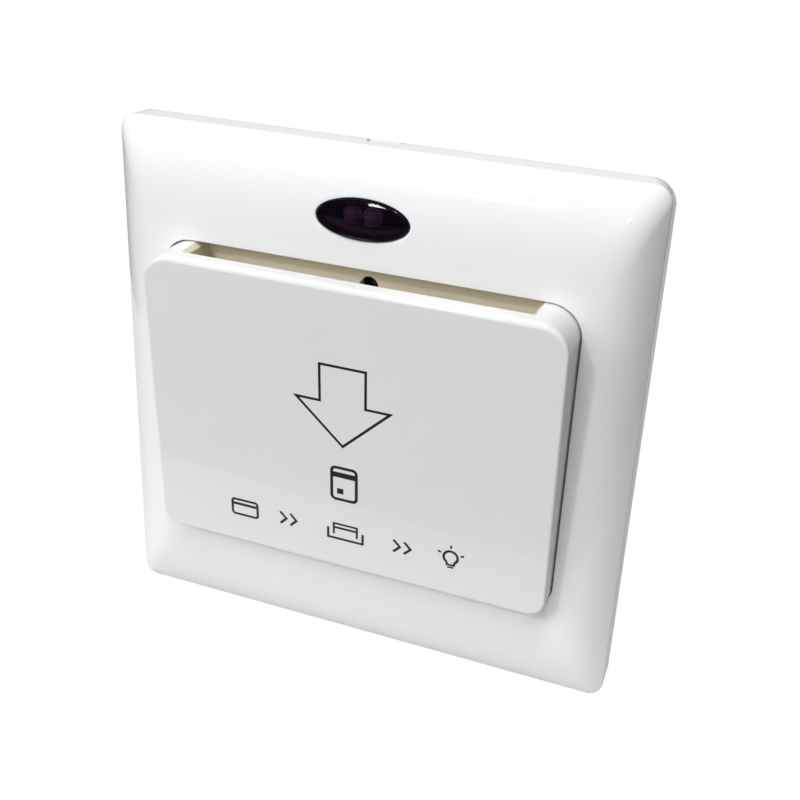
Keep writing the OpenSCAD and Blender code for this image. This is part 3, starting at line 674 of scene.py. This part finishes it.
def build_lever_spring():
    """The torsion spring: its coil stays on the bracket, its leg lies under the lever and turns with it."""
    px, pz = 16.0, -13.0

    def coil(a):
        t = math.radians(a)
        return (px + 3.1 * math.cos(t), 3.1 - 1.3 * (a - 215) / 1030, pz + 3.1 * math.sin(t))

    place(tube("lever_spring_coil", [coil(215 + 1030 * i / 150) for i in range(151)], 0.25, M[SLOT_OF["lever_spring"]]), "base", "lever_spring")
    leg = [(px - 5.0, 1.8, -14.9), (px - 9.4, 1.8, -15.5), (px - 10.8, 1.75, -15.6), (px - 10.8, -0.6, -15.6)]
    path = [coil(1223 + 2 * i) for i in range(11)] + bent([coil(1245)] + leg, 0.7)
    place(tube("lever_spring_leg", path, 0.245, M[SLOT_OF["lever_spring"]]), "card_lever", slot=SLOT_OF["lever_spring"])


build_lever_spring()
for node, ob in NODES.items():
    if not ob.hide_render:
        ob.data.materials.clear()
        ob.data.materials.append(M[SLOT_OF[node]])


# ---------------------------------------------------------------- indicator lens
LENS_SLOPE = math.tan(math.radians(6.7))
LENS_OUT = 0.33  # how far the dome stands out from its seat


def build_lens():
    n = 200
    rings, kind = [], []

    def add(a, b, y, mat, tilt=1.0):
        ring_k = []
        for k in range(n):
            t = 2 * math.pi * k / n
            z = b * math.sin(t)
            ring_k.append((LENS_X + a * math.cos(t), y + tilt * (LENS_SLOPE * z - LENS_OUT), LENS_Z + z))
        rings.append(ring_k)
        kind.append(mat)

    # from the middle of the cavity's ceiling, out over the rear, round the flange and up over the dome
    for q in (0.04, 0.35, 0.7, 0.92):
        add(6.25 * q, 2.3 * q, -7.15, 1)
    add(6.16, 2.22, -7.12, 1)
    add(6.25, 2.3, -6.95, 1)
    add(6.32, 2.36, -5.6, 2, 0.5)
    add(6.4, 2.44, -4.1, 2, 0)
    add(6.55, 2.6, -4.05, 2, 0)
    add(8.7, 3.75, -4.05, 2, 0)
    add(8.85, 3.9, -4.2, 2, 0)
    add(8.85, 3.9, -4.8, 2, 0)
    add(8.7, 3.75, -4.95, 2, 0)
    add(LENS_A, LENS_B, -4.95, 2, 0)
    add(LENS_A, LENS_B, -6.2, 0, 0.6)
    er = 0.4
    for k in range(0, 20):
        t = math.radians(4 * k)
        q = er * (1 - math.cos(t))
        add(LENS_A - q, LENS_B - q, -(7.6 + er * math.sin(t)), 0)
    t = math.radians(76)
    a1, b1, y1 = LENS_A - er * (1 - math.cos(t)), LENS_B - er * (1 - math.cos(t)), 7.6 + er * math.sin(t)
    for k in range(1, 28):
        q = 1 - k / 28
        add(a1 * q, b1 * q, -(y1 + 0.45 * (1 - q ** 2)), 0)
    verts = [v for r in rings for v in r]
    faces, idx = [], []
    for i in range(len(rings) - 1):
        for k in range(n):
            faces.append((i * n + k, i * n + (k + 1) % n, (i + 1) * n + (k + 1) % n, (i + 1) * n + k))
            idx.append(kind[i + 1] if i else 1)
    for i, y, mat in ((0, -7.15 - LENS_OUT, 1), (len(rings) - 1, -(y1 + 0.45) - LENS_OUT, 0)):
        verts.append((LENS_X, y, LENS_Z))
        for k in range(n):
            faces.append((i * n + k, i * n + (k + 1) % n, len(verts) - 1))
            idx.append(mat)
    ob = mesh_object("indicator_lens_dome", verts, faces, [M["smoked_lens"], M["lens_inner"], M["lens_wall"]], idx)
    smooth(ob, 50)
    return place(ob, "front_panel", "indicator_lens")


build_lens()


# ---------------------------------------------------------------- lead frames inside the two lamps
def build_lead_frames():
    parts = []
    for cx in (-2.75, 0.45):
        parts.append(bevel(cuboid("l", cx - 0.85, cx - 0.02, -4.1, -1.45, 32.5, 33.0), 0.07, 2))
        parts.append(bevel(rod("c", 0.28, -4.05, -4.6, cx - 0.28, 32.75, 24, (), 0.46), 0.05, 2))
        parts.append(bevel(cuboid("p", cx + 0.28, cx + 0.75, -4.65, -1.45, 32.55, 32.95), 0.07, 2))
    ob = parts[0]
    ob.name = "lamp_lead_frames"
    join(ob, *parts[1:])
    ob.data.materials.append(M["solder"])
    smooth(ob, 40)
    return place(ob, "base", slot="plated_cage")


def build_lamp_rims():
    """Pale rings round each lamp where its dome starts: a painted highlight that stands for the bright outline of the
    lamp's edge.
    """
    verts, faces, m, k = [], [], 64, 8
    for cx in (-2.75, 0.45):
        i0 = len(verts)
        for i in range(m):
            t = 2 * math.pi * i / m
            for j in range(k):
                u = 2 * math.pi * j / k
                q = 1.42 + 0.055 * math.cos(u)
                verts.append((cx + q * math.cos(t), -5.6 + 0.055 * math.sin(u), 32.75 + q * math.sin(t)))
        faces += [(i0 + i * k + j, i0 + i * k + (j + 1) % k, i0 + (i + 1) % m * k + (j + 1) % k, i0 + (i + 1) % m * k + j) for i in range(m) for j in range(k)]
    # pale silkscreen-coloured rings: painted highlight of the lamps' edges
    ob = mesh_object("lamp_edge_highlights", verts, faces, [M["silk"]])
    smooth(ob, 60)
    return place(ob, "base", slot="base_plastic")


build_lead_frames()
build_lamp_rims()


# ---------------------------------------------------------------- prints on the pocket
def strokes(name, lines, fills=(), width=0.42, lift=0.014, body="front_panel", mat=None, at=None):
    """Printed marks as thin raised solids. lines are (points, closed, width or None); points are (x, z) on the leaning face."""
    at = at or (lambda x, z, o: (x, pocket_front(z) - o, z))
    verts, faces = [], []

    def slab(quads_top):
        for poly in quads_top:
            m = len(poly)
            i = len(verts)
            verts.extend(at(x, z, lift) for x, z in poly)
            verts.extend(at(x, z, -0.01) for x, z in poly)
            faces.append(tuple(range(i, i + m)))
            faces.append(tuple(range(i + m, i + 2 * m))[::-1])
            faces.extend((i + k, i + m + k, i + m + (k + 1) % m, i + (k + 1) % m) for k in range(m))

    for pts, closed, w in lines:
        h = (w or width) / 2
        p = [np.array(q, float) for q in pts]
        m = len(p)
        left, right = [], []
        for k in range(m):
            a = p[k - 1] if (closed or k) else None
            b = p[(k + 1) % m] if (closed or k < m - 1) else None
            d0 = (p[k] - a) / np.linalg.norm(p[k] - a) if a is not None else None
            d1 = (b - p[k]) / np.linalg.norm(b - p[k]) if b is not None else None
            d0 = d1 if d0 is None else d0
            d1 = d0 if d1 is None else d1
            n0, n1 = np.array([-d0[1], d0[0]]), np.array([-d1[1], d1[0]])
            mit = n0 + n1
            mit = mit / max(np.dot(mit, n0), 0.25)
            left.append(tuple(p[k] + mit * h))
            right.append(tuple(p[k] - mit * h))
        i = len(verts)
        for o in (lift, -0.01):
            verts.extend(at(x, z, o) for x, z in left)
            verts.extend(at(x, z, o) for x, z in right)
        for k in range(m if closed else m - 1):
            k2 = (k + 1) % m
            L, R, l, r = i, i + m, i + 2 * m, i + 3 * m
            faces.append((L + k, L + k2, R + k2, R + k))
            faces.append((l + k, r + k, r + k2, l + k2))
            faces.append((L + k, l + k, l + k2, L + k2))
            faces.append((R + k, R + k2, r + k2, r + k))
        if not closed:
            for k in (0, m - 1):
                faces.append((i + k, i + m + k, i + 3 * m + k, i + 2 * m + k))
    slab(fills)
    ob = mesh_object(name, verts, faces, [mat or M["ink"]])
    return place(ob, body)


def arc2(cx, cz, r, a0, a1, n):
    return [(cx + r * math.cos(math.radians(a0 + (a1 - a0) * k / n)), cz + r * math.sin(math.radians(a0 + (a1 - a0) * k / n))) for k in range(n + 1)]


def card_outline(cx, cz, w, h, r):
    p = []
    for sx, sz, a0 in ((1, 1, 0), (-1, 1, 90), (-1, -1, 180), (1, -1, 270)):
        p += arc2(cx + sx * (w / 2 - r), cz + sz * (h / 2 - r), r, a0, a0 + 90, 6)
    return p


def box2(x0, x1, z0, z1):
    return [(x0, z0), (x1, z0), (x1, z1), (x0, z1)]


def prints():
    # outlined arrow that shows which way the card goes in
    arrow = [(-3.76, 12.0), (3.76, 12.0), (3.76, 5.68), (7.73, 5.68), (0.0, -1.75), (-7.73, 5.68), (-3.76, 5.68)]
    strokes("arrow_print", [(arrow, True, 0.42)])
    # a key card with its stripe, below the arrow
    cx, cz = 0.2, -8.7
    strokes("card_mark_print", [(card_outline(cx, cz, 4.2, 5.9, 0.7), True, 0.5)],
            [box2(cx - 1.95, cx + 1.95, cz + 1.15, cz + 2.1), box2(cx - 1.2, cx - 0.1, cz - 1.9, cz - 0.9)])
    # a row of plain pictograms: card, pocket with a card in it, lamp, with chevrons between them
    z, lines, fills = -18.0, [], []
    x = -17.6
    lines.append((card_outline(x, z, 4.6, 2.9, 0.45), True, 0.42))
    fills.append(box2(x - 2.1, x + 2.1, z + 0.35, z + 0.85))
    for x in (-10.6, -8.8, 9.2, 11.0):
        lines.append(([(x - 0.55, z + 1.15), (x + 0.55, z), (x - 0.55, z - 1.15)], False, 0.42))
    x = 0.4
    lines.append(([(x - 3.0, z + 0.55), (x - 3.0, z - 1.35), (x + 3.0, z - 1.35), (x + 3.0, z + 0.55)], False, 0.42))
    lines.append(([(x - 2.0, z - 0.55), (x - 2.0, z + 1.5), (x + 2.0, z + 1.5), (x + 2.0, z - 0.55)], False, 0.36))
    fills.append(box2(x - 1.8, x + 1.8, z + 0.55, z + 0.95))
    x = 18.2
    lines.append((arc2(x, z + 0.45, 1.15, -58, 238, 26), False, 0.42))
    lines.append(([(x - 0.61, z - 0.53), (x - 0.61, z - 1.0), (x + 0.61, z - 1.0), (x + 0.61, z - 0.53)], False, 0.36))
    fills.append(box2(x - 0.5, x + 0.5, z - 1.62, z - 1.3))
    for a in (20, 90, 160):
        c, s = math.cos(math.radians(a)), math.sin(math.radians(a))
        lines.append(([(x + 1.7 * c, z + 0.45 + 1.7 * s), (x + 2.3 * c, z + 0.45 + 2.3 * s)], False, 0.34))
    strokes("use_row_print", lines, fills)


prints()


# ---------------------------------------------------------------- circuit board details
def board_details():
    def on_board(x, z, o):
        return (x, 7.0 - o, z)

    pads = [(-14.4, 25.4), (0.6, 25.4), (8.35, 25.4), (10.85, 25.4), (-11.9, -17), (-11.9, -13), (13.7, 4.5), (-12, -5.5), (-12, 14.5), (-13.6, 0.5)]
    pads += [(x, -11 - 2.7 * k) for k in range(4) for x in (-7.6, 0.6)] + [(x, -12.4 - 4.6 * k) for k in range(2) for x in (3.0, 14.2)]
    pads += [(x, -29.4) for x in (-12.3, -4.1, 4.1, 12.3)]
    verts, faces = [], []
    n = 20
    for x, z in pads:
        i = len(verts)
        prof = [(1.0, 7.0), (0.98, 6.95), (0.62, 6.86), (0.42, 6.62), (0.33, 6.3), (0.2, 6.2)]
        for r, y in prof:
            verts += [(x + r * math.cos(2 * math.pi * k / n), y, z + r * math.sin(2 * math.pi * k / n)) for k in range(n)]
        for a in range(len(prof) - 1):
            faces += [(i + a * n + k, i + a * n + (k + 1) % n, i + (a + 1) * n + (k + 1) % n, i + (a + 1) * n + k) for k in range(n)]
        faces.append(tuple(i + (len(prof) - 1) * n + k for k in range(n)))
        faces.append(tuple(i + k for k in range(n))[::-1])
    ob = mesh_object("solder_joints", verts, faces, [M["solder"]])
    smooth(ob, 60)
    place(ob, "base", slot="plated_cage")
    t = [
        ([(-14.4, 25.4), (-14.4, 17.0), (-12, 14.5)], False, 1.3), ([(0.6, 25.4), (8.35, 25.4)], False, 1.3),
        ([(10.85, 25.4), (17.4, 25.4), (17.4, 6.0), (13.7, 4.5)], False, 1.1), ([(-12, -5.5), (-12, -9.4), (-11.9, -13)], False, 1.2),
        ([(-7.6, -11), (-7.6, -19.1)], False, 1.2), ([(0.6, -11), (0.6, -19.1)], False, 1.2), ([(0.6, -19.1), (3.0, -17.0)], False, 0.9),
        ([(-11.9, -17), (-12.3, -29.4)], False, 1.6), ([(-4.1, -29.4), (-7.6, -19.1)], False, 1.2), ([(14.2, -12.4), (14.2, -17.0)], False, 0.9),
        ([(14.2, -17), (12.3, -29.4)], False, 1.6), ([(-9.2, 9.9), (-6.5, 12.5), (-6.5, 20.0), (-2.6, 24.5), (-2.6, 28.0)], False, 0.4),
        ([(-10.5, 9.9), (-10.5, 14.0), (-8.0, 17.0), (-8.0, 27.0), (-4.2, 30.6)], False, 0.4), ([(-11.7, 4.1), (-11.7, 1.5), (-8, -1.0), (4.5, -1.0)], False, 0.4),
        ([(-13.0, 4.1), (-13.0, 1.9), (-13.6, 0.5)], False, 0.4), ([(-9.2, 4.1), (-6.0, 1.2), (6.0, 1.2), (13.7, 4.5)], False, 0.5),
        ([(0.9, 20.2), (3.4, 18.0), (3.4, 11.0), (-8.6, 7.6)], False, 0.4),
    ]
    strokes("copper_tracks", t, (), 0.5, 0.05, "base", M["track"], on_board)
    s = [(card_outline(-11.5, 7.0, 6.4, 7.4, 0.3), True, 0.2), (arc2(-2.75, 32.75, 1.5, 0, 352, 40), True, 0.2), (arc2(0.45, 32.75, 1.5, 0, 352, 40), True, 0.2),
         (arc2(0, 21.7, 2.4, 0, 352, 40), True, 0.2), (card_outline(11.0, 10.0, 5.0, 3.0, 0.2), True, 0.2), (card_outline(-14.5, -1.5, 4.4, 2.0, 0.2), True, 0.2)]
    strokes("board_outlines_print", s, (), 0.2, 0.03, "base", M["silk"], on_board)
    # small surface parts beside the chip
    parts = []
    for x, z, w, h in ((11.0, 10.0, 3.2, 1.6), (11.0, 14.0, 3.2, 1.6), (4.6, 6.2, 2.0, 1.2), (4.6, 9.0, 2.0, 1.2), (-6.0, 4.0, 2.0, 1.2), (9.4, 30.0, 2.0, 1.2), (6.2, 30.0, 2.0, 1.2)):
        c = cuboid("c", x - w / 2, x + w / 2, 6.25, 7.02, z - h / 2, z + h / 2, [M["black_plastic"], M["solder"]])
        bm = bmesh.new()
        bm.from_mesh(c.data)
        for f in bm.faces:
            if abs(f.normal.x) > 0.9:
                f.material_index = 1
        ends = [f for f in bm.faces if abs(f.normal.x) > 0.9]
        r = bmesh.ops.inset_region(bm, faces=[f for f in bm.faces if f.normal.y < -0.9], thickness=0.0002, use_boundary=True)
        bm.to_mesh(c.data)
        bm.free()
        parts.append(bevel(c, 0.1, 2, 60))
    first = parts[0]
    first.name = "small_surface_parts"
    join(first, *parts[1:])
    smooth(first, 40)
    place(first, "base", slot="black_plastic")


board_details()


# ---------------------------------------------------------------- coil turns
def build_winding():
    rows, cx, cz, n = [], -3.0, 4.5, 64
    y0, y1, turns = 13.3, 22.1, 26
    prof = [(4.1, y0)]
    for k in range(turns):
        a = y0 + (y1 - y0) * k / turns
        h = (y1 - y0) / turns
        for q in range(6):
            t = q / 6
            prof.append((6.62 + 0.26 * math.sin(math.pi * t), a + h * t))
    prof += [(6.62, y1), (4.1, y1)]
    verts = [(cx + r * math.cos(2 * math.pi * k / n), y, cz + r * math.sin(2 * math.pi * k / n)) for r, y in prof for k in range(n)]
    m = len(prof)
    faces = [(i * n + k, i * n + (k + 1) % n, ((i + 1) % m) * n + (k + 1) % n, ((i + 1) % m) * n + k) for i in range(m) for k in range(n)]
    ob = mesh_object("relay_coil_turns", verts, faces, [M["enamelled_copper"]])
    smooth(ob, 70, False)
    return place(ob, "base", "relay_winding")


build_winding()

# ---------------------------------------------------------------- camera
F, CX, CY = 1168.07261, 387.845671, 368.296485
R = Matrix(((0.9302284327674468, 0.364920892414925, 0.03883046677693239),
            (0.18708248820187445, -0.3805282632980842, -0.9056480461192082),
            (-0.3157138031179746, 0.8497240629230403, -0.42224851854132783)))
cam = bpy.data.cameras.new("camera")
cam.sensor_width = 36.0
cam.lens = F / 800 * 36.0
cam.shift_x = (400 - CX) / 800
cam.shift_y = (CY - 400) / 800
cam.clip_start, cam.clip_end = 0.005, 20
cam_ob = link(bpy.data.objects.new("camera", cam))
cam_ob.matrix_world = Matrix.Translation(Vector((60.893051, -159.17541971, 85.2639106)) * MM) @ Matrix((R[0], -R[1], -R[2])).transposed().to_4x4()
bpy.context.scene.camera = cam_ob

# ---------------------------------------------------------------- floor and light
FLOOR_Z = -43.25


def stage_mat(name, col, glow):
    m, nt, bs = new_mat(name)
    bs.inputs["Base Color"].default_value = (*col, 1)
    bs.inputs["Roughness"].default_value = 0.9
    bs.inputs["Specular IOR Level"].default_value = 0.0
    bs.inputs["Emission Color"].default_value = (1, 1, 1, 1)
    bs.inputs["Emission Strength"].default_value = glow
    return m


def floor_part(name, y0, y1, z, col, glow, x0=-2500, x1=2500):
    ob = mesh_object(name, [(x0, y0(x0), z), (x1, y0(x1), z), (x1, y1(x1), z), (x0, y1(x0), z)],
                     [(0, 1, 2, 3)], [stage_mat(name, col, glow)])
    return ob


def sheet_edge(x):
    return -49.62 + 0.0396 * (x + 58.46)


# a white sheet under the switch on a duller table, and a glowing white ground that only the camera sees
floor_part("sheet", sheet_edge, lambda x: 2500, FLOOR_Z, (0.64, 0.64, 0.64), 0.0, -170, 110)
floor_part("sheet_side", lambda x: sheet_edge(110) + 1.1 * (x - 110), lambda x: 2500, FLOOR_Z, (0.64, 0.64, 0.64), 0.0, 110, 1500)
floor_part("table", lambda x: -2500, lambda x: 2500, FLOOR_Z - 0.2, (0.05, 0.05, 0.05), 0.0)
ground = floor_part("white_ground", lambda x: -2500, lambda x: 2500, FLOOR_Z + 0.05, (0, 0, 0), 1.0)
ground.visible_diffuse = ground.visible_glossy = ground.visible_transmission = ground.visible_volume_scatter = ground.visible_shadow = False


def area(name, az, el, dist, size, power, col=(1, 1, 1), aim=(0, -0.006, 0), height=None):
    """Soft panel lamp seen from the object at an azimuth (0 is straight ahead of the front, + is right) and elevation."""
    L = bpy.data.lights.new(name, "AREA")
    L.shape = "RECTANGLE" if height else "DISK"
    L.size = size
    L.size_y = height or size
    L.energy = power
    L.color = col
    ob = link(bpy.data.objects.new(name, L))
    a, e = math.radians(az), math.radians(el)
    d = Vector((math.sin(a) * math.cos(e), -math.cos(a) * math.cos(e), math.sin(e)))
    ob.location = Vector(aim) + d * dist
    ob.rotation_mode = "QUATERNION"
    ob.rotation_quaternion = d.to_track_quat("Z", "Y")
    return ob


area("ceiling", 20, 72, 0.8, 0.06, 1.8)
area("key", -19, 38, 0.8, 0.05, 1.0)
area("streak", -17, 28, 0.8, 0.10, 0.22, height=0.03)
area("spark", 0, 24, 0.8, 0.03, 0.15)
for name, az, el, power in (("fill_high", 0, 60, 2.25), ("fill_front", -20, 38, 0.9), ("fill_right", 5, 22, 0.45), ("fill_left", -45, 28, 1.2),
                            ("fill_left_low", -45, 8, 0.55), ("fill_low", -10, 4, 0.4), ("fill_back", 175, 52, 3.0)):
    area(name, az, el, 0.8, 0.4, power).visible_glossy = False

world = bpy.data.worlds.new("world")
bpy.context.scene.world = world
world.use_nodes = True
bg = world.node_tree.nodes["Background"]
bg.inputs["Color"].default_value = (1, 1, 1, 1)
bg.inputs["Strength"].default_value = 0.03
bpy.context.scene.view_settings.view_transform = "Standard"
bpy.context.scene.view_settings.look = "None"
